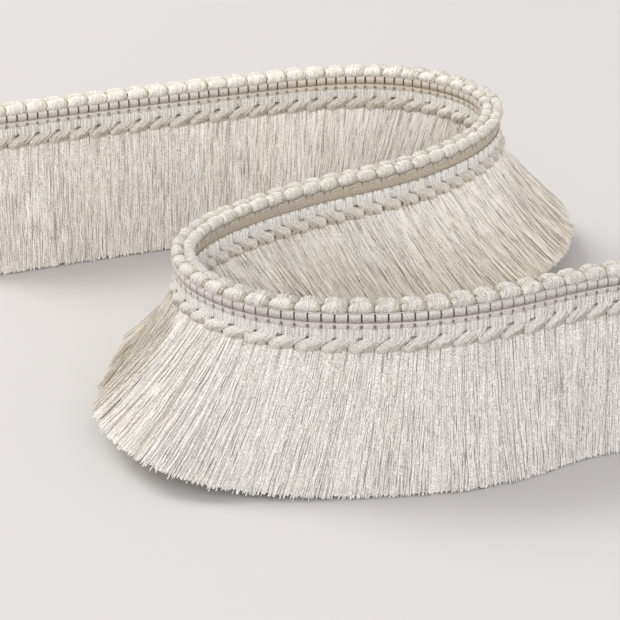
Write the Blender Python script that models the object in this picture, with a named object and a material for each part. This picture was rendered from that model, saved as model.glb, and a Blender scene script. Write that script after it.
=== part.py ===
"""A brush fringe standing on its cut yarn ends, laid out in an S on a level surface.

The woven heading runs along the top: a row of beaded loops, a smooth band below it on
both faces and a row of slanted loops along its lower edge. The yarn skirt hangs under it
in thirteen lengths, each a narrow backing strip with two rows of locks.
"""

import bmesh
import bpy
import numpy as np

PITCH = 0.0064  # one beaded loop along the heading, in metres
FIRST_BEAD, LAST_BEAD = -1, 77
HEIGHT = 7.9 * PITCH  # top of the beads above the surface
EDGE = 5.9 * PITCH  # lower edge of the heading
YARN = 6.0 * PITCH  # length of the skirt's yarns
GAP = 0.0003  # between the heading and the skirt, and between the skirt's lengths
STRIP_DEEP = 0.0013
STRIP_HALF = 0.32 * PITCH
ROOT_LAP = 0.0006  # how far a lock's root runs up into its strip

START = (-15.09 * PITCH, 5.79 * PITCH, 24.0)  # bead 0: across, away, degrees
SHIFT = (0.00283, 0.01078)  # puts the middle of the footprint on the origin

# How the trim is laid: at this bead, degrees of left turn for each bead.
LAY = (
    (8, -0.2), (12, -0.1), (15, -1.5), (18, -7.0), (21, -10.3), (24, -9.9), (27, -10.0),
    (30, -6.7), (34, -3.8), (38, -4.2), (42, 3.0), (46, 2.5), (49, 7.1), (52, 11.7),
    (55, 8.0), (58, 10.4), (62, 5.3), (66, 4.7), (69, 2.9), (73, -6.2), (77, 0.0),
)

# How the tips of the skirt stand from the heading's middle line on each side, in
# pitches: bead, reach outwards, sweep along the trim.
SKIRT_RIGHT = (
    (0, 1.25, -0.3), (11, 1.15, -0.4), (14, 1.1, -0.6), (16, 1.0, -0.5), (18, 0.8, -0.6),
    (20, 0.5, -1.3), (22, 0.6, -2.0), (26, 0.4, -2.4), (34, 0.5, -2.3), (39, 0.9, -1.9),
    (44, 2.0, -1.2), (46, 3.6, -0.6), (48, 4.5, 0.6), (50, 3.95, 0.2), (52, 3.65, -0.4),
    (54, 3.7, -1.8), (55, 3.8, -2.0), (56, 4.0, -1.5), (57, 3.95, -1.25), (58, 3.45, -1.3),
    (60, 1.95, -1.5), (62, 1.32, -1.24), (64, 1.05, -0.7), (66, 1.25, -0.1),
    (68, 1.3, 0.15), (70, 1.15, -0.05), (72, 0.95, -0.3),
)
SKIRT_LEFT = (
    (9, -1.15, 0.0), (14, -1.5, 0.0), (18, -3.2, -0.4), (22, -4.5, -0.6), (24, -4.5, -0.9),
    (26, -4.35, -1.4), (28, -4.0, -1.9), (30, -3.7, -2.0), (32, -3.35, -2.3),
    (34, -3.0, -2.75), (36, -2.5, -3.0), (39, -1.6, -3.1), (42, -1.1, -3.0),
    (44, -1.3, -3.1), (46, -2.0, -3.3), (48, -2.3, -3.3), (50, -2.1, -2.8),
    (52, -1.6, -2.0), (54, -1.1, -1.1), (57, -0.8, -0.2), (61, -0.9, 0.0), (66, -1.0, 0.0),
)

LENGTHS = 13  # skirt sections along the trim
LOCKS = 10  # locks in one row of a section
LOCK_SHARE = 0.8  # part of its spacing that a lock fills at the root
LOCK_TIP = 0.42 * PITCH  # thickness of a lock at its tip
ROOT_IN, ROOT_OUT = 0.07 * PITCH, 0.28 * PITCH

# Heading section for one face, from the top down: share of the pitch out from the middle
# and up from the lower edge, between two loops, and how far a full loop adds to each.
FACE = (
    (0.24, 1.84, 0.06, 0.16),
    (0.40, 1.68, 0.10, 0.06),
    (0.36, 1.50, 0.02, 0.0),
    (0.32, 0.90, 0.0, 0.0),
    (0.34, 0.42, 0.09, 0.0),
    (0.26, 0.02, 0.04, -0.02),
)
FULLNESS = (0.0, 0.85, 1.0, 0.85)  # of a loop, at four stations along its pitch


def middle_line(beads):
    """Across, away and direction of the heading's middle line, by summing the turns."""
    fine = np.arange(FIRST_BEAD, LAST_BEAD + 0.01, 0.125)
    table = np.array(LAY)
    turn = np.radians(np.interp(fine, table[:, 0], table[:, 1]))
    step = fine[1] - fine[0]

    def summed(rate):
        return np.concatenate([[0.0], np.cumsum((rate[1:] + rate[:-1]) / 2 * step)])

    zero = np.searchsorted(fine, 0.0)
    way = summed(turn)
    way += np.radians(START[2]) - way[zero]
    across, away = summed(np.cos(way)) * PITCH, summed(np.sin(way)) * PITCH
    across += START[0] - across[zero] + SHIFT[0]
    away += START[1] - away[zero] + SHIFT[1]
    return [np.interp(beads, fine, line) for line in (across, away, way)]


def placed(beads, out, along, up):
    """Points beside the middle line: out to its right, along it and up, in metres."""
    across, away, way = middle_line(beads)
    x = across + out * np.sin(way) + along * np.cos(way)
    y = away - out * np.cos(way) + along * np.sin(way)
    return np.stack([x, y, up + 0.0 * x], axis=-1)


def tip_of(beads, side):
    """Reach and sweep of the tips on one side, in metres."""
    table = np.array(SKIRT_RIGHT if side > 0 else SKIRT_LEFT)
    return [np.interp(beads, table[:, 0], table[:, column]) * PITCH for column in (1, 2)]


def tip_height(beads, side):
    """Height at which a yarn of the skirt's length ends, level with the surface if near."""
    reach, sweep = tip_of(beads, side)
    drop = np.sqrt(YARN**2 - (reach - side * ROOT_OUT) ** 2 - sweep**2)
    rise = EDGE - drop
    return np.where(rise < 0.25 * PITCH, 0.0, rise)


def add_object(name, points, faces, material):
    mesh = bpy.data.meshes.new(name)
    mesh.from_pydata([tuple(p) for p in points], [], [tuple(f) for f in faces])
    shell = bmesh.new()
    shell.from_mesh(mesh)
    bmesh.ops.recalc_face_normals(shell, faces=shell.faces)
    shell.to_mesh(mesh)
    shell.free()
    mesh.materials.append(material)
    obj = bpy.data.objects.new(name, mesh)
    bpy.context.scene.collection.objects.link(obj)
    return obj


def swept(rings):
    """Points and faces of a closed solid through rings of the same number of points."""
    rings = np.asarray(rings)
    count, size = rings.shape[:2]
    faces = []
    for i in range(count - 1):
        for j in range(size):
            k = (j + 1) % size
            faces.append((i * size + j, i * size + k, (i + 1) * size + k, (i + 1) * size + j))
    faces.append(tuple(range(size))[::-1])
    faces.append(tuple((count - 1) * size + j for j in range(size)))
    return rings.reshape(-1, 3), faces


def heading(material):
    """One band along the whole lay, its section fuller in the middle of each loop."""
    stations = np.arange(FIRST_BEAD, LAST_BEAD + 0.01, 0.25)
    full = np.array([FULLNESS[round(4 * s) % 4] for s in stations])
    rings = []
    for right in (False, True):
        rows = FACE[::-1] if right else FACE
        for out, up, more_out, more_up in rows:
            reach = (out + more_out * full) * PITCH
            height = EDGE + (up + more_up * full) * PITCH
            rings.append(placed(stations, reach if right else -reach, 0.0, height))
    points, faces = swept(np.stack(rings, axis=1))
    return add_object("heading_band", points, faces, material)


def lock(left, right, side):
    """A tapered four-sided lock between two beads' positions, its end level."""
    middle = (left + right) / 2
    tip_up = float(tip_height(middle, side))
    spread = 0.5 * (right - left)
    rings = []
    for share in (0.0, 0.34, 0.68, 1.0):
        # The yarns leave the strip steeply and spread faster further down.
        run = 0.8 * share + 0.2 * share**2
        ring = []
        for edge, outer in ((-1, 0), (1, 0), (1, 1), (-1, 1)):
            bead = middle + edge * spread * (1.0 + 0.08 * share)
            reach, sweep = (float(v) for v in tip_of(bead, side))
            root = side * (ROOT_OUT if outer else ROOT_IN)
            tip = reach if outer else reach - side * LOCK_TIP
            up = (EDGE - GAP - STRIP_DEEP + ROOT_LAP) * (1 - share) + tip_up * share
            ring.append(placed(bead, root + (tip - root) * run, sweep * run, up))
        rings.append(ring)
    return swept(rings)


def strip(first, last):
    """The narrow backing just under the heading that holds one length of the skirt."""
    trim = GAP / 2 / PITCH
    stations = np.linspace(first + trim, last - trim, 7)
    high, low = EDGE - GAP, EDGE - GAP - STRIP_DEEP
    corners = ((-1, high), (-1, low), (1, low), (1, high))
    rings = [placed(stations, out * STRIP_HALF, 0.0, up) for out, up in corners]
    return swept(np.stack(rings, axis=1))


def joined(pieces):
    """Several closed pieces as one list of points and one of faces."""
    points, faces, start = [], [], 0
    for more_points, more_faces in pieces:
        points.append(more_points)
        faces += [tuple(i + start for i in face) for face in more_faces]
        start += len(more_points)
    return np.concatenate(points), faces


def skirt_length(index, material):
    """One length of the skirt: its strip with both rows of locks fused to it."""
    beads = (LAST_BEAD - FIRST_BEAD) / LENGTHS
    first = FIRST_BEAD + index * beads
    obj = add_object(f"skirt_{index + 1:02d}", *strip(first, first + beads), material)
    pitch = beads / LOCKS
    pieces = []
    for side in (1, -1):
        for i in range(LOCKS):
            middle = first + (i + 0.5) * pitch
            half = 0.5 * LOCK_SHARE * pitch
            pieces.append(lock(middle - half, middle + half, side))
    locks = add_object(f"locks_{index + 1:02d}", *joined(pieces), material)
    locks.hide_render = True
    union = obj.modifiers.new("roots", "BOOLEAN")
    union.operation = "UNION"
    union.solver = "EXACT"
    union.object = locks
    return obj


def yarn_material(name, colour, roughness):
    material = bpy.data.materials.new(name)
    material.use_nodes = True
    shader = material.node_tree.nodes["Principled BSDF"]
    shader.inputs["Base Color"].default_value = (*colour, 1.0)
    shader.inputs["Roughness"].default_value = roughness
    return material


def main():
    for obj in list(bpy.data.objects):
        bpy.data.objects.remove(obj, do_unlink=True)
    heading(yarn_material("woven_heading_yarn", (0.76, 0.73, 0.66), 0.6))
    skirt = yarn_material("spun_skirt_yarn", (0.78, 0.75, 0.69), 0.55)
    for index in range(LENGTHS):
        skirt_length(index, skirt)


main()
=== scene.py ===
"""Looks of a brush fringe that stands on its cut yarn ends, laid in an S.

The loops, the threads and the skirt are separate yarns, each a thin tube along its own
path. The woven ground, the filled cords and the wall of yarns inside the skirt are single
solids. All of them are worked out beside the heading's middle line.

Places along the trim are in beads. Places out from its middle line and up from the
heading's lower edge are in pitches, unless a name or comment says otherwise. Tones run
from 0, dark, to 1, light, and warmths from 0 to 1.
"""

import math

import bpy
import numpy as np
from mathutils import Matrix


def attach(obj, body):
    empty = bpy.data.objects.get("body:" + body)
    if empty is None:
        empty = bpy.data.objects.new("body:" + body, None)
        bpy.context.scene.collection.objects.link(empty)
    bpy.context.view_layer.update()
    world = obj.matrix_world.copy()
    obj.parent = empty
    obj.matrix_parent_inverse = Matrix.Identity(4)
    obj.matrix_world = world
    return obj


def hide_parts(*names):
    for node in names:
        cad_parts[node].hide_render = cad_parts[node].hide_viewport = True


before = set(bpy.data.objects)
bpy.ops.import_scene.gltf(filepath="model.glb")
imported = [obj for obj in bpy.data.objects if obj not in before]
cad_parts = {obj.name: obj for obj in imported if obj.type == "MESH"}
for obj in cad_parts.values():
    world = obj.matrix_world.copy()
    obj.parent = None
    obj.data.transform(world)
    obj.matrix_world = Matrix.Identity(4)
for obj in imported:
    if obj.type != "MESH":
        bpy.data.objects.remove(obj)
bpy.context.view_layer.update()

# The trim's own sizes, the same as the solids have, in metres.
PITCH = 0.0064  # one beaded loop along the heading
FIRST_BEAD, LAST_BEAD = -1, 77
EDGE = 5.9 * PITCH  # lower edge of the heading
YARN = 6.0 * PITCH  # length of the skirt's yarns
START = (-15.09 * PITCH, 5.79 * PITCH, 24.0)  # bead 0: across, away, degrees
SHIFT = (0.00283, 0.01078)  # puts the middle of the footprint on the origin
LENGTHS = 13  # of the skirt, one after another along the trim

# How the trim is laid: at this bead, degrees of left turn for each bead.
LAY = (
    (8, -0.2), (12, -0.1), (15, -1.5), (18, -7.0), (21, -10.3), (24, -9.9), (27, -10.0),
    (30, -6.7), (34, -3.8), (38, -4.2), (42, 3.0), (46, 2.5), (49, 7.1), (52, 11.7),
    (55, 8.0), (58, 10.4), (62, 5.3), (66, 4.7), (69, 2.9), (73, -6.2), (77, 0.0),
)

# How the tips of the skirt stand from the heading's middle line on each side, in
# pitches: bead, reach outwards, sweep along the trim.
SKIRT_RIGHT = (
    (0, 1.25, -0.3), (11, 1.15, -0.4), (14, 1.1, -0.6), (16, 1.0, -0.5), (18, 0.8, -0.6),
    (20, 0.5, -1.3), (22, 0.6, -2.0), (26, 0.4, -2.4), (34, 0.5, -2.3), (39, 0.9, -1.9),
    (44, 2.0, -1.2), (46, 3.6, -0.6), (48, 4.5, 0.6), (50, 3.95, 0.2), (52, 3.65, -0.4),
    (54, 3.7, -1.8), (55, 3.8, -2.0), (56, 4.0, -1.5), (57, 3.95, -1.25), (58, 3.45, -1.3),
    (60, 1.95, -1.5), (62, 1.32, -1.24), (64, 1.05, -0.7), (66, 1.25, -0.1),
    (68, 1.3, 0.15), (70, 1.15, -0.05), (72, 0.95, -0.3),
)
SKIRT_LEFT = (
    (9, -1.15, 0.0), (14, -1.5, 0.0), (18, -3.2, -0.4), (22, -4.5, -0.6), (24, -4.5, -0.9),
    (26, -4.35, -1.4), (28, -4.0, -1.9), (30, -3.7, -2.0), (32, -3.35, -2.3),
    (34, -3.0, -2.75), (36, -2.5, -3.0), (39, -1.6, -3.1), (42, -1.1, -3.0),
    (44, -1.3, -3.1), (46, -2.0, -3.3), (48, -2.3, -3.3), (50, -2.1, -2.8),
    (52, -1.6, -2.0), (54, -1.1, -1.1), (57, -0.8, -0.2), (61, -0.9, 0.0), (66, -1.0, 0.0),
)

BEADS = np.arange(FIRST_BEAD, LAST_BEAD)
FACES = ((1, "right"), (-1, "left"))  # the trim's two sides, seen along it
FINE = 0.125  # step of the sums along the trim, in beads


# Curves that several pieces share

def looked_up(places, table, column=1):
    """A table's values at these places, evenly between its rows. Column 0 is the place."""
    rows = np.array(table)
    return np.interp(places, rows[:, 0], rows[:, column])


def hump(x, middle, width):
    """One at the middle, falling as e to minus the square of the distance in widths."""
    return np.exp(-(((x - middle) / width) ** 2))


def fade(x, width):
    """One at nought, falling as e to minus the distance in widths."""
    return np.exp(-np.abs(x) / width)


def from_half(x):
    """How far x is past the nearest multiple of a half, counted in halves."""
    return (2 * x + 0.5) % 1 - 0.5


# Paths beside the heading's middle line

def stations(step):
    """Places along the whole trim, one for each step."""
    return np.arange(FIRST_BEAD, LAST_BEAD + step / 2, step)


def middle_line(beads):
    """Across, away and direction of the middle line: the turns summed along the trim."""
    fine = stations(FINE)
    turn = np.radians(looked_up(fine, LAY))

    def summed(rate):
        return np.concatenate([[0.0], np.cumsum((rate[1:] + rate[:-1]) / 2 * FINE)])

    zero = np.searchsorted(fine, 0.0)
    way = summed(turn)
    way += np.radians(START[2]) - way[zero]
    across, away = summed(np.cos(way)) * PITCH, summed(np.sin(way)) * PITCH
    across += START[0] - across[zero] + SHIFT[0]
    away += START[1] - away[zero] + SHIFT[1]
    return [np.interp(beads, fine, line) for line in (across, away, way)]


def placed(beads, out, up, along=0.0):
    """Points in metres: the middle line's point, moved out to its right, along it and up."""
    beads, out, up, along = np.broadcast_arrays(beads, out, up, along)
    across, away, way = middle_line(beads)
    x = across + out * np.sin(way) + along * np.cos(way)
    y = away - out * np.cos(way) + along * np.sin(way)
    return np.stack([x, y, up], axis=-1)


def outwards(beads, side):
    """Level directions square to the middle line, away from it on that side."""
    way = middle_line(beads)[2]
    return np.stack([side * np.sin(way), -side * np.cos(way), np.zeros_like(way)], axis=-1)


def on_heading(beads, out, up):
    """Points given in pitches: bead, out from the middle and up from the lower edge."""
    return placed(beads, np.asarray(out) * PITCH, EDGE + np.asarray(up) * PITCH)


# Meshes

SIDES = 3  # corners of a yarn's section
TURN = 0.6  # radians, the first corner's angle on a yarn that faces no way in particular
BENT = 0.15  # sine of the least bend that gives a path a plane of its own
LEVEL = 0.6  # rise for its length below which a straight path's sides start from upright


def add_piece(name, points, faces, material, values, smooth=True):
    """A mesh object riding on the trim. Faces come in arrays, one for each size."""
    loops = np.concatenate([some.ravel() for some in faces])
    sizes = np.concatenate([np.full(len(some), some.shape[1]) for some in faces])
    starts = np.concatenate([[0], np.cumsum(sizes)[:-1]])
    mesh = bpy.data.meshes.new(name)
    mesh.vertices.add(len(points))
    mesh.vertices.foreach_set("co", points.astype(np.float32).ravel())
    mesh.loops.add(len(loops))
    mesh.loops.foreach_set("vertex_index", loops.astype(np.int32))
    mesh.polygons.add(len(sizes))
    mesh.polygons.foreach_set("loop_start", starts.astype(np.int32))
    mesh.update(calc_edges=True)
    for key, value in values.items():
        layer = mesh.attributes.new(key, "FLOAT", "POINT")
        layer.data.foreach_set("value", value.astype(np.float32).ravel())
    if smooth:
        mesh.shade_smooth()
    else:
        mesh.shade_flat()
    mesh.materials.append(material)
    piece = bpy.data.objects.new(name, mesh)
    bpy.context.scene.collection.objects.link(piece)
    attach(piece, "root")
    return piece


def unit(vectors):
    """The vectors at length one, or nought where they have no length."""
    return vectors / np.maximum(np.linalg.norm(vectors, axis=-1, keepdims=True), 1e-12)


def walls_and_caps(count, steps, sides):
    """Faces of closed tubes whose points run ring by ring, tube by tube."""
    here = np.arange(sides)
    there = (here + 1) % sides
    row = np.arange(steps - 1)[:, None] * sides
    wall = np.stack([row + here, row + there, row + there + sides, row + here + sides], -1)
    tube = np.arange(count)[:, None] * steps * sides
    caps = np.stack([here[::-1], here + (steps - 1) * sides])
    return [
        (tube[..., None] + wall.reshape(-1, 4)).reshape(-1, 4),
        (tube[..., None] + caps).reshape(-1, sides),
    ]


def tubes(paths, thick, facing, turn):
    """Points and faces of a closed tube round each path.

    Each ring is the path's point plus half the thickness times the cosine and sine of the
    ring's angle along two directions square to the path. The first is taken from the
    normal of the plane that the path bends in, or on a straight path from a plain axis,
    unless it is given as a facing direction. The turn is the first corner's angle.
    """
    count, steps = paths.shape[:2]
    run = unit(np.gradient(paths, axis=1))
    chord = unit(paths[:, -1] - paths[:, 0])
    knee = unit(paths[:, steps // 2] - paths[:, 0])
    bend = np.cross(knee, chord)
    bent = np.linalg.norm(bend, axis=-1, keepdims=True) > BENT
    plain = np.where(np.abs(chord[:, 2:]) < LEVEL, [0.0, 0.0, 1.0], [1.0, 0.0, 0.0])
    aside = (np.where(bent, unit(bend), plain) if facing is None else facing)[:, None]
    first = unit(aside - run * (run * aside).sum(-1, keepdims=True))
    second = np.cross(run, first)
    turn = np.broadcast_to(np.asarray(turn), (count, steps))[..., None, None]
    angle = np.arange(SIDES)[:, None] * 2 * np.pi / SIDES + turn
    half = np.broadcast_to(np.asarray(thick) / 2, (count, steps))[..., None, None]
    ring = first[:, :, None] * np.cos(angle) + second[:, :, None] * np.sin(angle)
    points = paths[:, :, None] + ring * half
    return points.reshape(-1, 3), walls_and_caps(count, steps, SIDES)


def section_tube(rings, outward):
    """Points and faces of one closed tube through rings of points.

    Outward is 1 where the rings run so that the faces look outward, or -1 to turn them.
    """
    steps, sides = rings.shape[:2]
    faces = walls_and_caps(1, steps, sides)
    return rings.reshape(-1, 3), [some[:, ::outward] for some in faces]


def joined(layers):
    """Several layers as one: each is points, faces, tones and warmths."""
    first = np.cumsum([0] + [len(layer[0]) for layer in layers])
    points = np.concatenate([layer[0] for layer in layers])
    faces = [some + start for layer, start in zip(layers, first) for some in layer[1]]
    tone, warm = (np.concatenate([layer[part].ravel() for layer in layers]) for part in (2, 3))
    return points, faces, tone, warm


# Materials

WARM = "F2E4C2"  # what a wholly warm yarn's colour is multiplied by
BUMP_DEPTH = 0.0002  # metres
# Sockets of a colour mix, whose names repeat: share, two colours and the result.
MIX_SHARE, MIX_FIRST, MIX_SECOND, MIX_RESULT = 0, 6, 7, 2


def linear(colour):
    """An sRGB hex colour as linear red, green and blue."""
    parts = np.array([int(colour[i : i + 2], 16) for i in (0, 2, 4)]) / 255
    low, high = parts / 12.92, ((parts + 0.055) / 1.055) ** 2.4
    return tuple(float(v) for v in np.where(parts <= 0.04045, low, high))


def add_node(tree, kind, inputs=(), links=(), **settings):
    """A node with its settings, socket values and links from other nodes' sockets."""
    node = tree.nodes.new(kind)
    for key, value in settings.items():
        setattr(node, key, value)
    for key, value in dict(inputs).items():
        node.inputs[key].default_value = value
    for key, (source, output) in dict(links).items():
        tree.links.new(source.outputs[output], node.inputs[key])
    return node


def yarn(name, dark, light, roughness, grain_mm, contrast, level, sheen):
    """Yarn whose colour runs from dark to light with the piece's own tone and its twist.

    The place on the ramp is the tone, plus the noise's distance from its middle times the
    contrast, plus the level: that noise paints the glints of the twist, and also drives the
    bump. The piece's warmth is the share of the warm tint.
    """
    material = bpy.data.materials.new(name)
    material.use_nodes = True
    tree = material.node_tree
    shader = tree.nodes["Principled BSDF"]
    tone = add_node(tree, "ShaderNodeAttribute", attribute_name="tone")
    warm = add_node(tree, "ShaderNodeAttribute", attribute_name="warm")
    place = add_node(tree, "ShaderNodeTexCoord")
    grain = add_node(
        tree, "ShaderNodeTexNoise", {"Scale": 1000 / grain_mm, "Detail": 2.0},
        {"Vector": (place, "Object")},
    )
    lifted = add_node(
        tree, "ShaderNodeMath", {1: contrast, 2: level - contrast / 2}, {0: (grain, "Fac")},
        operation="MULTIPLY_ADD",
    )
    mixed = add_node(
        tree, "ShaderNodeMath", {}, {0: (tone, "Fac"), 1: (lifted, "Value")}, operation="ADD"
    )
    ramp = add_node(tree, "ShaderNodeValToRGB", {}, {"Fac": (mixed, "Value")})
    ramp.color_ramp.elements[0].color = (*linear(dark), 1.0)
    ramp.color_ramp.elements[1].color = (*linear(light), 1.0)
    tinted = add_node(
        tree, "ShaderNodeMix", {MIX_SECOND: (*linear(WARM), 1.0)},
        {MIX_SHARE: (warm, "Fac"), MIX_FIRST: (ramp, "Color")},
        data_type="RGBA", blend_type="MULTIPLY",
    )
    bump = add_node(
        tree, "ShaderNodeBump", {"Strength": 0.5, "Distance": BUMP_DEPTH},
        {"Height": (grain, "Fac")},
    )
    tree.links.new(tinted.outputs[MIX_RESULT], shader.inputs["Base Color"])
    tree.links.new(bump.outputs["Normal"], shader.inputs["Normal"])
    shader.inputs["Roughness"].default_value = roughness
    shader.inputs["Sheen Weight"].default_value = sheen
    shader.inputs["Sheen Roughness"].default_value = 0.4
    shader.inputs["IOR"].default_value = 1.5
    return material


# Spun viscose, cut: silky yarns; the noise in their colour paints the glints of their twist
# point by point.
cut_yarn = yarn(
    "viscose_yarn_cut", dark="A29C94", light="FFFEFC", roughness=0.42,
    grain_mm=0.4, contrast=2.1, level=-0.14, sheen=0.15,
)
# The same yarn in tight loops: rounder, with a little warmer dark end for the painted shade in
# its hollows.
looped_yarn = yarn(
    "viscose_yarn_looped", dark="7A7162", light="FFFEFA", roughness=0.4,
    grain_mm=0.34, contrast=1.2, level=-0.1, sheen=0.15,
)
# Woven ground and filled cords: smooth, with a satin gloss.
woven_yarn = yarn(
    "viscose_yarn_woven", dark="5A5145", light="FBF6F2", roughness=0.35,
    grain_mm=0.3, contrast=1.0, level=-0.08, sheen=0.1,
)

# How tones and warmths change along the trim: bead, value. The two rear runs are painted
# a little warmer than the front run, painted light that the yarns throw on one another,
# and here and there a little lighter, painted light too. The skirts round the bays stand
# in the other runs' shade and are painted lighter to make up for it. The yarns of the
# middle run that lean over the front bay are painted warmest at their tips, painted warm
# light thrown up from the bay.
REAR = ((46, 1.0), (60, 0.0))
SHADED = ((9, 0.0), (16, 1.0), (49, 1.0), (54, 0.0))
OVER_BAY = ((24, 0.4), (36, 1.0), (49, 1.0), (54, 0.0))


def rear(beads):
    """One on the two rear runs, falling to none on the front run."""
    return looked_up(beads, REAR)


def shaded(beads):
    """One round the bays, none at the two ends of the trim."""
    return looked_up(beads, SHADED)


# Heading

# The woven band's section: out from the middle, up from the lower edge.
GROUND = (
    (0.18, 0.02), (0.26, 0.5), (0.2, 1.1), (0.2, 1.62), (0.0, 1.74),
    (-0.2, 1.62), (-0.2, 1.1), (-0.26, 0.5), (-0.18, 0.02), (0.0, -0.02),
)
GROUND_STEP = 0.25
GROUND_TOP = 1.5  # above this the band shows between the beads in the light; below, where it shows only deep in the pits and slits, it is painted dark: painted shade
TOP_TONE, BODY_TONE, END_TONE = 0.55, 0.15, 0.6  # above it, below it, on the cut ends

# The beaded loops. A loop's yarns crowd towards its two edges as the sine of an angle in
# even steps, and each turns round from under the loop past its outer side and its top.
LOOP_YARNS, LOOP_RINGS = 17, 9
LOOP_CROWD, LOOP_FROM, LOOP_TO = 80, -75, 180  # degrees
LOOP_POWER = 2.2  # of the yarns' sizes across a loop
LOOP_OUT, LOOP_UP = 0.23, 1.685  # a loop's middle
LOOP_REACH, LOOP_HEIGHT = 0.23, 0.235  # its half size outwards and upwards
LOOP_LEAST = 0.35  # share of the reach that is left at its edges
LOOP_DOME = 0.08  # how much higher the yarns in its middle sit
LOOP_HALF, LOOP_LEAN = 0.45, 0.08  # its half width and its lean, along the trim
LOOP_THICK = 0.115  # of a yarn
LOOP_PLUMP, LOOP_NUDGE = 0.05, 0.02  # spread of the loops' size as a share, and of place
LOOP_LOOSE = (0.009, 0.008)  # spread of the yarns' places out and up
LOOP_TONE, LOOP_TONE_SPREAD = 0.69, 0.06
# Bead, how far the loops' edges fill up to full size.
LOOP_FULL = ((16, 0.5), (24, 0.1), (42, 0.1), (48, 0.4), (54, 0.4), (60, 0.0))
# Bead, slip of the two faces' rows along each other.
LOOP_SLIP = ((16, 0.1), (26, 0.5), (46, 0.5), (56, 0.06))
# Bead, how much lighter the loops are painted: painted light on the rear runs, which get less
# of it.
LOOP_LIGHT = ((14, 0.23), (30, 0.08), (46, 0.08), (60, 0.0))

# The filled cords. Rings stand by each notch at these distances in beads; the ones within
# its edge spread as the notch widens, and the ones within its floor are drawn in.
NOTCH_RINGS = (-0.2, -0.05, -0.036, -0.024, 0.024, 0.036, 0.05, 0.2)
NOTCH_EDGE, NOTCH_FLOOR = 0.1, 0.025
NOTCH_WIDER = 0.3  # share by which notches are wider on the rear runs
NOTCH_SOFT = 0.25  # sine over which a notch comes to its full depth
FOOT_NOTCH = (-0.7, 0.8)  # middle and width of a notch in a cord's foot, in radians
CORD_CORNERS = (-110, -75, -50, -25, 0, 30, 60, 90, 150, 210)  # degrees up from outwards
CORD_POWER = 0.8  # of the sine and cosine, which flattens the section's ellipse
# Each cord's side, its centre and half size out and up, its notches for each bead, their
# width as a share, their depth as a share of the cord and the sine of the angle that they
# start above, or none where they are in its foot alone, and its colours: tone, the painted
# shade's fall from top to foot, and warmth, which on the left face's sunken band is
# painted shade.
CORDS = {
    "ladder_cord_right": dict(
        side=1, centre=(0.25, 1.4), size=(0.21, 0.24),
        every=2, wide=1.0, deep=0.8, low=-0.6, tone=0.49, shade_fall=0.27, warm=0.05,
    ),
    "flat_rib_right": dict(
        side=1, centre=(0.29, 1.06), size=(0.13, 0.17),
        every=2, wide=1.8, deep=0.85, low=None, tone=0.6, shade_fall=0.05, warm=0.1,
    ),
    "smooth_band_left": dict(
        side=-1, centre=(0.17, 1.28), size=(0.16, 0.38),
        every=1, wide=1.0, deep=0.5, low=0.2, tone=0.56, shade_fall=0.06, warm=0.6,
    ),
}

# The slanted loops. A yarn's rings from its top: height, swell outwards.
SLANT_YARNS = 16
SLANT = (
    (1.0, -0.05), (0.94, 0.0), (0.86, 0.01), (0.6, 0.03), (0.52, 0.05), (0.43, 0.11),
    (0.32, 0.15), (0.2, 0.17), (0.09, 0.14), (0.02, 0.07), (0.0, -0.06),
)
# Where the yarns turn in under the loop: share across it, height.
SLANT_FEET = ((0.0, 0.06), (0.2, -0.05), (0.5, -0.04), (0.75, 0.0), (1.0, 0.05))
SLANT_OUT = 0.36  # how far out the straight yarns lie
SLANT_THICK = 0.15  # of a yarn
# Heights of the dot in a loop's head, of the bend, and of the pit and the slit at its edge.
HEAD_UP, BEND_UP, PIT_UP, SLIT_UP = 0.97, 0.58, 0.52, 0.2
PIT_WIDTH, SLIT_WIDTH = 0.07, 0.1
EDGE_PART, PIT_PART, DOT_PART = 0.01, 0.12, 0.05  # how far the yarns part at each
SLANT_BACK = 0.5  # how far they move back along the trim
SLANT_LOOSE = (0.009, 0.008, 0.005, 0.025)  # spread of places along, up, out, and of tone
SLANT_PLUMP = 0.12  # spread of the loops' swell, as a share
EDGE_CLOSED = 0.62  # above this height the yarns don't part at a loop's edge
STRAIGHT_UP, SLANT_UP = 0.55, 0.5  # above the first a yarn is straight, below the second not
EDGE_WIDTH = 0.12  # share of a loop over which its yarns part at an edge
# What differs by side: how far the slit parts, fullness, power of the slant, tone, which is
# higher on the left face as painted light.
SLANT_SIDES = {1: (0.05, 1.0, 1.0, 0.78), -1: (0.09, 1.3, 0.7, 0.92)}

THREAD_OUT, THREAD_UP, THREAD_THICK = 0.45, 1.62, 0.045
THREAD_DIP = (0.03, 0.012)  # out and up
# A thread end's points: along its bead, height.
HOOK = ((0.36, 1.5), (0.5, 1.51), (0.64, 1.49), (0.7, 1.45), (0.7, 1.38))
HOOK_OUT, HOOK_THICK = -0.4, 0.075


def ground():
    """The woven band between the faces: a rounded upright section along the trim."""
    beads = stations(GROUND_STEP)[:, None]
    section = np.array(GROUND)
    rings = on_heading(beads, section[:, 0], section[:, 1])
    points, faces = section_tube(rings, -1)
    # Painted shade: the band is dark below its top, where it shows only in the pits and slits.
    tone = np.tile(np.where(section[:, 1] > GROUND_TOP, TOP_TONE, BODY_TONE), (len(beads), 1))
    tone[[0, -1]] = END_TONE
    piece = add_piece("woven_ground", points, faces, woven_yarn, {"tone": tone})
    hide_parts("heading_band")
    return piece


def laid_yarns(name, paths, thick, tone, warm=0.0, facing=None):
    """A piece of looped yarns: a closed tube round each path, toned point by point."""
    steps = paths.shape[-2]
    turn = TURN if facing is None else np.pi / SIDES
    points, faces = tubes(paths.reshape(-1, steps, 3), thick * PITCH, facing, turn)
    values = {
        key: np.repeat(np.broadcast_to(value, paths.shape[:-1]).ravel(), SIDES)
        for key, value in (("tone", tone), ("warm", warm))
    }
    return add_piece(name, points, faces, looped_yarn, values)


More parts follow.
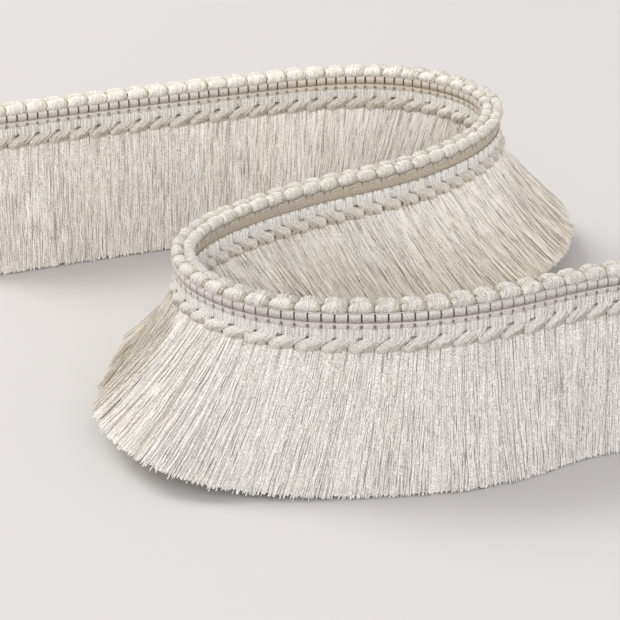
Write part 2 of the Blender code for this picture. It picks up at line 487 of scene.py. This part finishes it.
def beaded_loops(side, word):
    """Plump loops in two rows along the top, each of parallel yarns over a round form.

    A yarn at a, from -1 to 1 across its loop, follows seven tenths of a turn round the
    loop's middle. Its size is one less a to the power 2.2, to the power of one over 2.2,
    and the smaller yarns sit lower, which makes a dome. Where the loops are fuller, the
    sizes are drawn up towards one. A yarn leans along the trim by the sine of its angle,
    and the rows of the two faces stand apart along it by the slip at their bead. It is
    painted darker and warmer under the loop and at its edge away from the light: painted
    shade. The loops on the rear runs are painted lighter: painted light.
    """
    rng = np.random.default_rng(11 + side)
    each_loop, each_yarn = (len(BEADS), 1, 1), (len(BEADS), LOOP_YARNS, 1)
    a = np.sin(np.radians(np.linspace(-LOOP_CROWD, LOOP_CROWD, LOOP_YARNS)))[:, None]
    angle = np.radians(np.linspace(LOOP_FROM, LOOP_TO, LOOP_RINGS))
    full, slip = (
        looked_up(BEADS + 0.5, table)[:, None, None] for table in (LOOP_FULL, LOOP_SLIP)
    )
    size = (1 - np.abs(a) ** LOOP_POWER) ** (1 / LOOP_POWER)
    size = size + full * (1 - size)
    plump = 1 + rng.normal(0, LOOP_PLUMP, each_loop)
    nudge = rng.normal(0, LOOP_NUDGE, each_loop)
    reach = LOOP_REACH * (LOOP_LEAST + (1 - LOOP_LEAST) * size)
    out = LOOP_OUT + reach * np.cos(angle) * plump
    up = LOOP_UP + LOOP_DOME * size + LOOP_HEIGHT * size * np.sin(angle) * plump
    beads = BEADS[:, None, None] + 0.5 + nudge + LOOP_HALF * a
    beads = beads + side * (LOOP_LEAN * size * np.sin(angle) - slip / 2)
    out = out + rng.normal(0, LOOP_LOOSE[0], each_yarn)
    up = up + rng.normal(0, LOOP_LOOSE[1], each_yarn)
    paths = on_heading(beads, side * out, up)
    # Painted shade: darker and warmer under each loop and at its edge away from the light.
    under = np.clip(-np.sin(angle), 0, 1)
    edge = np.clip(side * a, 0, 1) ** 2
    tone = LOOP_TONE + looked_up(BEADS, LOOP_LIGHT)[:, None, None]
    tone = tone + rng.normal(0, LOOP_TONE_SPREAD, each_yarn) - 0.15 * under - 0.12 * edge
    warm = 0.4 * edge + 0.2 * under + 0.08 + 0.08 * rear(BEADS)[:, None, None]
    return laid_yarns(f"beaded_loops_{word}", paths, LOOP_THICK, tone, warm)


def notched_cord(name, side, centre, size, every, wide, deep, low, tone, shade_fall, warm):
    """A filled cord along the face, drawn in by a thread at every notch.

    Its section is a flattened ellipse. At each notch its outer part is cut in by a share
    of its size. Its tone falls from top to foot, painted shade of the light from above, and
    it is painted dark in the notches, painted shade; these are wider on the rear runs. On
    the right face, which shows there, those runs are painted a little lighter, painted
    light, and warmer, most of all round the bays: painted light and painted shade.
    """
    near = np.array(NOTCH_RINGS)
    places = np.arange(every * FIRST_BEAD, every * LAST_BEAD + 1)[:, None] / every
    spread = near * wide * (1 + NOTCH_WIDER * rear(places))
    beads = (places + np.where(np.abs(near) < NOTCH_EDGE, spread, near)).ravel()
    pinch = np.tile(np.abs(near) < NOTCH_FLOOR, len(places))
    keep = (beads >= FIRST_BEAD) & (beads <= LAST_BEAD)
    beads, pinch = beads[keep][:, None], pinch[keep][:, None]
    angle = np.radians(CORD_CORNERS)
    if low is None:
        within = hump(angle, *FOOT_NOTCH)
    else:
        within = np.clip((np.sin(angle) - low) / NOTCH_SOFT, 0, 1)
    cut = deep * pinch * within
    aside, high = (np.sign(v) * np.abs(v) ** CORD_POWER for v in (np.cos(angle), np.sin(angle)))
    out = centre[0] + size[0] * aside * (1 - cut * (aside > 0))
    up = centre[1] + size[1] * high
    points, faces = section_tube(on_heading(beads, side * out, up), -side)
    shows = side > 0
    # Painted shade: the tone falls from the lit top to the foot and is dark in the notches;
    # painted light lifts the rear runs on the right face.
    lit = np.clip(1.6 * np.sin(angle + 0.1), -0.7, 1)
    shade = tone + shade_fall * lit - 0.9 * cut + 0.08 * rear(beads) * shows
    tint = warm + (0.1 * rear(beads) + 0.3 * shaded(beads)) * shows
    values = {"tone": shade, "warm": np.broadcast_to(tint, shade.shape)}
    return add_piece(name, points, faces, woven_yarn, values)


def slanted_loops(side, word):
    """Yarns that come straight down from the cords and slant back into plump loops.

    The yarn at share b of its loop comes down at bead k + 0.5 + b. Below the bend it moves
    back half a pitch by a smooth step of its way down, which is shorter near the loop's
    edges, and turns in under the loop. The loop swells at once at b = 0 and falls off
    slowly to b = 1, so that each one overlaps the one before it. Its yarns part a little
    at the pit, at the slit below it and at the dots in the middle of its head and foot.
    Painted shade darkens them there, most of all on the rear runs, and also on the loop's
    lower side towards b = 1 and where the yarns tuck in under it, with painted warmth
    towards the foot. The left face is painted lighter: painted light.
    """
    slit_part, fullness, power, light = SLANT_SIDES[side]
    rng = np.random.default_rng(21 + side)
    b = ((np.arange(SLANT_YARNS) + 0.5) / SLANT_YARNS)[:, None]
    height, swell = np.transpose(SLANT)
    foot = looked_up(b, SLANT_FEET) + 0.11 * hump(b, 0.5, 0.06)
    up = 1.0 - (1.0 - foot) * (1.0 - height)
    lowest = 0.32 - 0.3 * (1 - np.abs(2 * b - 1) ** 3)
    way = np.clip((BEND_UP - up) / (BEND_UP - lowest), 0, 1) ** power
    edges = fade(b, EDGE_WIDTH) - fade(1 - b, EDGE_WIDTH)
    pit, slit = hump(up, PIT_UP, PIT_WIDTH), hump(up, SLIT_UP, SLIT_WIDTH)
    part = (EDGE_PART + PIT_PART * pit + slit_part * slit) * (up < EDGE_CLOSED)
    nearest = from_half(b)
    head_and_foot = hump(up, 0.0, 0.13) * (np.abs(b - 0.5) < 0.25) + hump(up, HEAD_UP, 0.06)
    dots = fade(nearest, EDGE_WIDTH) * head_and_foot
    along = 0.5 + b - SLANT_BACK * way**2 * (3 - 2 * way)
    along = along + edges * part + DOT_PART * np.sign(nearest) * dots
    rise = np.clip(b / 0.16, 0, 1) ** 0.6 * (1 - 0.75 * b**1.3)
    swell = np.where(swell > 0, swell * rise * fullness, swell)

    loose = rng.normal(0, 1, (4, len(BEADS), SLANT_YARNS, 1))
    more_along, more_up, more_out, more_tone = (
        spread * draws for spread, draws in zip(SLANT_LOOSE, loose)
    )
    plump = 1 + rng.normal(0, SLANT_PLUMP, (len(BEADS), 1, 1))
    beads = BEADS[:, None, None] + along + more_along
    out = SLANT_OUT + swell * np.where(swell > 0, plump, 1) + more_out
    paths = on_heading(beads, side * out, up + more_up)
    facing = outwards(beads[:, :, 0].ravel(), side)

    # Painted shade: darker on each loop's lower side towards b = 1, where its yarns tuck in,
    # and at its pits, slits and dots, and warmer towards its foot and on the rear runs' loops;
    # painted light on the rear runs' straight yarns.
    back = rear(BEADS)[:, None, None]
    low, straight = up < SLANT_UP, up > STRAIGHT_UP
    tucked_in = (swell < -0.02) & low
    tone = light + more_tone - 0.18 * b * low - 0.5 * tucked_in
    tone = tone - dots * (np.abs(nearest) < 0.1)
    tone = tone - 0.8 * (np.abs(edges) > 0.5) * pit - 0.9 * (edges < -0.5) * slit
    tone = tone + back * (0.1 * straight - 0.6 * (b > 0.85) * slit)
    tone = tone - 0.5 * back * (np.abs(edges) > 0.4) * pit
    towards_foot = np.clip(1 - up / SLANT_UP, 0, 1)
    warm = 0.05 + back * (0.06 + 0.12 * ~straight) + 0.5 * b * towards_foot
    return laid_yarns(f"slanted_loops_{word}", paths, SLANT_THICK, tone, warm, facing)


def binding_thread():
    """A thin thread under the right face's beads, which dips a little at each one's edge."""
    beads = stations(FINE)
    dip = np.cos(2 * np.pi * beads)
    paths = on_heading(beads, THREAD_OUT - THREAD_DIP[0] * dip, THREAD_UP - THREAD_DIP[1] * dip)
    return laid_yarns("binding_thread_right", paths[None], THREAD_THICK, tone=0.7)


def thread_hooks():
    """Short thread ends under the left face's beads, each bent down at its end."""
    along, up = np.transpose(HOOK)
    paths = on_heading(BEADS[:, None] + along, HOOK_OUT, up)
    return laid_yarns("thread_hooks_left", paths, HOOK_THICK, tone=0.85)


# Skirt

PER_PITCH = 112  # yarns for each pitch
STEPS = 10  # rings of each yarn
THICK = 0.05  # of a yarn
ROOT_OUT, ROOT_UP = 0.4, 0.12  # of the outermost yarns' roots, which are inside the heading
DEPTH = 0.12  # share of the skirt's half depth that each face's yarns fill
ROOT_PART, ROOT_NEAR = 0.035, 0.08  # how far roots part at a half pitch, and how near it
TIP_CLEAR = 0.0001  # least height of a yarn's end above the surface, in metres
REACH_SPREAD, SWEEP_SPREAD = 0.025, 0.08  # of the tips
STRAY_SHARE, STRAY_FAR = 0.05, 3.0  # yarns that stray, and how many times further
LONG_SPREAD, END_SPREAD = 0.01, 0.06  # of yarns' lengths as a share, and of their ends' heights
BOW_SPREAD, CRIMP_SPREAD = 0.04, 0.035  # of a yarn's bow and of its rings' places
FOLD = 54.0  # bead up to which the right face's yarns, turned away behind the left bend's fan, are in painted shade
FOLD_FROM, FOLD_SOFT = 45, 0.4  # beads where that starts and over which its edge fades
FOLD_BULGE, FOLD_SHADE, FOLD_SHADE_WARM = 0.9, 0.24, 0.2  # beads that its edge bulges, and the painted shade's tone and warmth
DIP_WIDTH, DIP_SHADE = 0.05, 0.8  # of the painted shade where a yarn dips behind its neighbours
PARTING_WIDTH, PARTING_SHADE = 0.06, 0.5  # of the painted shade where the roots part
BUNCH = (0.1, 0.42)  # least and greatest width of the bunches that the yarns gather in
BUNCHES = 500  # drawn on each face, more than the trim holds
BUNCH_LAST = 0.25  # width that the last one on the trim is taken to have
BUNCH_PULL = {1: 0.14, -1: 0.24}  # most that one draws its yarns together, by face

# The wall of inner yarns
COLUMNS = 36  # for each pitch
ROWS = 11
WALL_DEPTH = 0.9  # share of the skirt's half depth
WALL_OUT, WALL_UP = 0.35, 0.1  # of its top
WALL_END = 0.985  # share of the yarns' way where it ends
WALL_GAP = 0.01  # to the end of its length of the skirt
WALL_RIB, WALL_CRINKLE = 0.022, 0.007  # how far its columns and its points stand out


def tips(beads, share):
    """Reach and sweep of the tips, in metres, from the left face at -1 to the right at 1."""
    found = []
    for column in (1, 2):
        right, left = (looked_up(beads, table, column) for table in (SKIRT_RIGHT, SKIRT_LEFT))
        found.append(((right + left) / 2 + share * (right - left) / 2) * PITCH)
    return found


def tip_height(long, reach, sweep):
    """Height in metres at which a yarn of this length ends, never below the surface."""
    drop = np.sqrt(np.maximum(long**2 - reach**2 - sweep**2, 0))
    return np.maximum(EDGE - drop, 0.0)


def share_out(u):
    """Share of a yarn's way outwards at share u of its way down: 0.8u + 0.2u squared."""
    return 0.8 * u + 0.2 * u**2


def clumps(rng, pull):
    """The bunches that one face's yarns gather in along the trim, as columns of values."""
    edges = FIRST_BEAD + np.concatenate([[0.0], np.cumsum(rng.uniform(*BUNCH, BUNCHES))])
    edges = edges[edges < LAST_BEAD + 1]
    count = len(edges)
    return {
        "edges": edges,
        "middle": edges + np.diff(edges, append=edges[-1] + BUNCH_LAST) / 2,
        "pull": rng.uniform(0.0, pull, count),
        "sway": rng.normal(0, 0.03, count),
        "lift": rng.normal(0, 0.02, count),
        "tone": rng.normal(0, 0.02, count),
        "warm": np.clip(rng.normal(0.08, 0.03, count), 0, 0.2),
    }


def own_bunch(bunches, root, face):
    """For each yarn, the values of the bunch on its face that its root is in."""
    own = {}
    for key in ("middle", "pull", "sway", "lift", "tone", "warm"):
        own[key] = np.zeros(len(root))
        for side, bunch in bunches.items():
            mine = face == side
            which = np.clip(np.searchsorted(bunch["edges"], root[mine]) - 1, 0, None)
            own[key][mine] = bunch[key][which]
    return own


def inner_yarns(rng, first, span):
    """The closely packed yarns inside one length of the skirt, as one ribbed solid wall.

    Its two sides follow the yarns' paths, a little inside them. Each column stands out by
    a random amount, smoothed over its neighbours, and each point by a smaller one, so
    that the wall is ribbed and crinkled like the yarns on it.
    """
    columns = int(COLUMNS * span) + 1
    bead = np.linspace(first + WALL_GAP, first + span - WALL_GAP, columns)[:, None]
    u = np.linspace(0, WALL_END, ROWS)
    run = share_out(u)
    rings, shades = [], []
    for side in (1, -1):
        loose = rng.normal(0, 1, (3, columns + 2, ROWS))
        rib = (loose[0, :-2, :1] + 2 * loose[0, 1:-1, :1] + loose[0, 2:, :1]) / 4
        ridge = WALL_RIB * rib + WALL_CRINKLE * loose[1, 1:-1]
        reach, sweep = tips(bead, side * WALL_DEPTH)
        root_out = side * WALL_OUT * PITCH
        out = root_out + (reach - root_out) * run + side * ridge * PITCH
        tip_up = tip_height(YARN, reach - root_out, sweep)
        up = (EDGE + WALL_UP * PITCH) * (1 - u) + tip_up * u
        wall = placed(bead, out, up, sweep * run)
        # Painted light and shade: columns that stand out are a little lighter, and the wall is
        # darker towards its top under the heading.
        shade = 0.8 + 0.04 * rib + 0.09 * loose[2, 1:-1] - 0.1 * (1 - u) ** 4
        rings.append(wall if side > 0 else wall[:, ::-1])
        shades.append(shade if side > 0 else shade[:, ::-1])
    points, faces = section_tube(np.concatenate(rings, axis=1), 1)
    shade = np.concatenate(shades, axis=1) + 0.15 * shaded(bead)
    warm = np.broadcast_to(0.08 + 0.14 * rear(bead), shade.shape)
    return points, faces, shade, warm


def cut_paths(rng, root, face, share, own):
    """The cut yarns' paths, from inside the heading to the surface.

    A yarn runs from its root to its tip as 0.8u + 0.2u squared across and evenly down,
    while it draws towards the middle of its bunch as the power 1.5 of u. It is bowed a
    little along the trim in half a sine wave, and each ring of it is moved a little at
    random, which crimps it. A few yarns stray three times as far as the rest. The roots
    part at each half pitch, and the yarns close again as the sixth power of one less u.
    """
    count = len(root)
    stray = np.where(rng.random(count) < STRAY_SHARE, STRAY_FAR, 1.0)
    reach, sweep = tips(root, share)
    reach += (own["lift"] * face + rng.normal(0, REACH_SPREAD, count) * stray) * PITCH
    sweep += (own["sway"] + rng.normal(0, SWEEP_SPREAD, count) * stray) * PITCH
    root_out = share * ROOT_OUT * PITCH
    long = YARN * (1 + rng.normal(0, LONG_SPREAD, count))
    tip_up = tip_height(long, reach - root_out, sweep)
    tip_up += np.abs(rng.normal(0, END_SPREAD, count)) * PITCH
    tip_up += TIP_CLEAR
    u = np.linspace(0, 1, STEPS)
    run = share_out(u)
    half = from_half(root)
    apart = ROOT_PART * np.sign(half) * fade(half, ROOT_NEAR)
    drawn = (own["middle"] - root) * own["pull"]
    bead = root[:, None] + drawn[:, None] * u**1.5 + apart[:, None] * (1 - u) ** 6
    free = np.clip(3 * u, 0, 1) * PITCH
    crimp = rng.normal(0, CRIMP_SPREAD, (2, count, STEPS)) * free
    bow = rng.normal(0, BOW_SPREAD, count)[:, None] * PITCH * np.sin(np.pi * u)
    out = root_out[:, None] + (reach - root_out)[:, None] * run + 0.6 * crimp[0]
    along = sweep[:, None] * run + bow + crimp[1]
    up = (EDGE + ROOT_UP * PITCH) * (1 - u) + tip_up[:, None] * u
    return placed(bead, out, up, along)


def cut_colours(rng, root, face, own):
    """Tone and warmth of the cut yarns, ring by ring.

    Each yarn has its bunch's tone and a little of its own, and a grain from ring to ring
    that is stronger on the rear runs and round the bays. Yarns are painted lighter towards
    their tips, on the rear runs and round the bays: painted light. Painted shade makes them
    darker where their roots part, and darker and warmer behind the fold, whose edge bulges
    with the sine of their way down. A few are darker for a short way, painted shade where
    one dips behind its neighbours. The tips that lean over the front bay are painted warmer,
    painted warm light thrown up from the bay.
    """
    count = len(root)
    u = np.linspace(0, 1, STEPS)
    back, dim = rear(root), shaded(root)
    # Painted shade behind the fold, on the right face's yarns that turn away from the light.
    fold_edge = FOLD + FOLD_BULGE * np.sin(np.pi * u)
    past = np.clip((fold_edge - root[:, None]) / FOLD_SOFT, 0, 1)
    fold_shade = ((face > 0) & (root > FOLD_FROM))[:, None] * past
    grain = (0.07 + 0.1 * back + 0.14 * dim)[:, None]
    # Painted light: lighter on the rear runs, round the bays and towards the tips.
    shade = 0.77 + own["tone"] + 0.04 * back + 0.22 * dim
    shade = shade + rng.normal(0, 1, count) * (0.025 + 0.02 * back)
    shade = shade[:, None] + 0.08 * u + rng.normal(0, 1, (count, STEPS)) * grain
    shade = shade - FOLD_SHADE * fold_shade
    # Painted shade where a yarn dips behind its neighbours and where the roots part.
    dips = rng.random(count) < 0.06 + 0.14 * back
    shade = shade - DIP_SHADE * dips[:, None] * hump(u, rng.random((count, 1)), DIP_WIDTH)
    parting = hump(from_half(root), 0.0, PARTING_WIDTH)[:, None]
    shade = shade - PARTING_SHADE * parting * (1 - u) ** 8
    # Painted warm light thrown up from the front bay on the tips that lean over it.
    leaning = looked_up(root, OVER_BAY) * (face < 0) * dim
    warm = (own["warm"] + 0.04 + 0.1 * back)[:, None] + FOLD_SHADE_WARM * fold_shade
    warm = warm + 0.25 * leaning[:, None] * u**2
    return shade, warm


def outer_yarns(rng, first, span, bunches):
    """The separate cut yarns of one length of the skirt, each a thin flat-sided tube."""
    count = int(PER_PITCH * span)
    root = first + span * (np.arange(count) + rng.random(count)) / count
    face = np.where(rng.random(count) < 0.5, 1, -1)
    share = face * (1 - DEPTH * rng.random(count))
    own = own_bunch(bunches, root, face)
    paths = cut_paths(rng, root, face, share, own)
    thick = THICK * PITCH * rng.uniform(0.8, 1.2, count)[:, None]
    shade, warm = cut_colours(rng, root, face, own)
    turn = np.pi / SIDES + rng.normal(0, 0.3, (count, STEPS))
    points, faces = tubes(paths, thick, outwards(root, face), turn)
    return points, faces, np.repeat(shade, SIDES), np.repeat(warm, SIDES)


def skirt_length(index, bunches):
    """One length of the skirt: its cut yarns over the wall of its inner ones."""
    rng = np.random.default_rng(100 + index)
    span = (LAST_BEAD - FIRST_BEAD) / LENGTHS
    first = FIRST_BEAD + index * span
    layers = [outer_yarns(rng, first, span, bunches), inner_yarns(rng, first, span)]
    points, faces, shade, warm = joined(layers)
    values = {"tone": shade, "warm": warm}
    name, node = f"cut_yarns_{index + 1:02d}", f"skirt_{index + 1:02d}"
    piece = add_piece(name, points, faces, cut_yarn, values, smooth=False)
    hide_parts(node)
    return piece


# Build

ground_band = ground()
heading = [notched_cord(name, **cord) for name, cord in CORDS.items()]
heading += [binding_thread(), thread_hooks()]
for side, word in FACES:
    heading.append(beaded_loops(side, word))
    heading.append(slanted_loops(side, word))
bunch_rng = np.random.default_rng(5)
bunches = {side: clumps(bunch_rng, pull) for side, pull in BUNCH_PULL.items()}
skirt = [skirt_length(index, bunches) for index in range(LENGTHS)]


# Camera, floor and light

PICTURE = 620  # pixels
FOCAL = 2860  # focal length in those pixels, from the spacing of the beads in the photo
SENSOR = 36.0  # mm
CAMERA_BACK, CAMERA_UP, CAMERA_TILT = 120 * PITCH, 48.65 * PITCH, 68  # metres, degrees
FLOOR_HALF = 6  # metres

camera_data = bpy.data.cameras.new("camera")
camera_data.sensor_width = SENSOR
camera_data.lens = FOCAL / PICTURE * SENSOR
camera_data.clip_end = 20
camera = bpy.data.objects.new("camera", camera_data)
camera.location = (SHIFT[0], SHIFT[1] - CAMERA_BACK, CAMERA_UP)
camera.rotation_euler = (math.radians(CAMERA_TILT), 0, 0)
bpy.context.scene.collection.objects.link(camera)
bpy.context.scene.camera = camera

floor_mesh = bpy.data.meshes.new("floor")
ways = ((-1, -1), (1, -1), (1, 1), (-1, 1))
floor_corners = [(FLOOR_HALF * x, FLOOR_HALF * y, 0) for x, y in ways]
floor_mesh.from_pydata(floor_corners, [], [(0, 1, 2, 3)])
floor = bpy.data.objects.new("floor", floor_mesh)
bpy.context.scene.collection.objects.link(floor)
# Matt paper, the pale plain ground of a studio.
paper = bpy.data.materials.new("paper_matt")
paper.use_nodes = True
paper_shader = paper.node_tree.nodes["Principled BSDF"]
paper_shader.inputs["Base Color"].default_value = (*linear("CBC9C7"), 1.0)
paper_shader.inputs["Roughness"].default_value = 0.9
floor_mesh.materials.append(paper)


def area_light(name, place, size, watts, colour):
    """A square soft light at place, turned to face the origin."""
    data = bpy.data.lights.new(name, "AREA")
    data.size = size
    data.energy = watts
    data.color = linear(colour)
    lamp = bpy.data.objects.new(name, data)
    lamp.location = place
    x, y, z = place
    lamp.rotation_euler = (math.atan2(math.hypot(x, y), z), 0, math.atan2(-y, -x) - math.pi / 2)
    bpy.context.scene.collection.objects.link(lamp)


area_light("key", (-1.6, 0.75, 2.1), size=1.5, watts=50, colour="FDFCFA")
area_light("fill", (0.3, -2.6, 1.6), size=2.4, watts=46, colour="FAFBFF")
world = bpy.data.worlds.new("studio")
world.use_nodes = True
world.node_tree.nodes["Background"].inputs["Color"].default_value = (*linear("F6F1F0"), 1.0)
world.node_tree.nodes["Background"].inputs["Strength"].default_value = 0.72
bpy.context.scene.view_settings.view_transform = "Standard"
bpy.context.scene.world = world
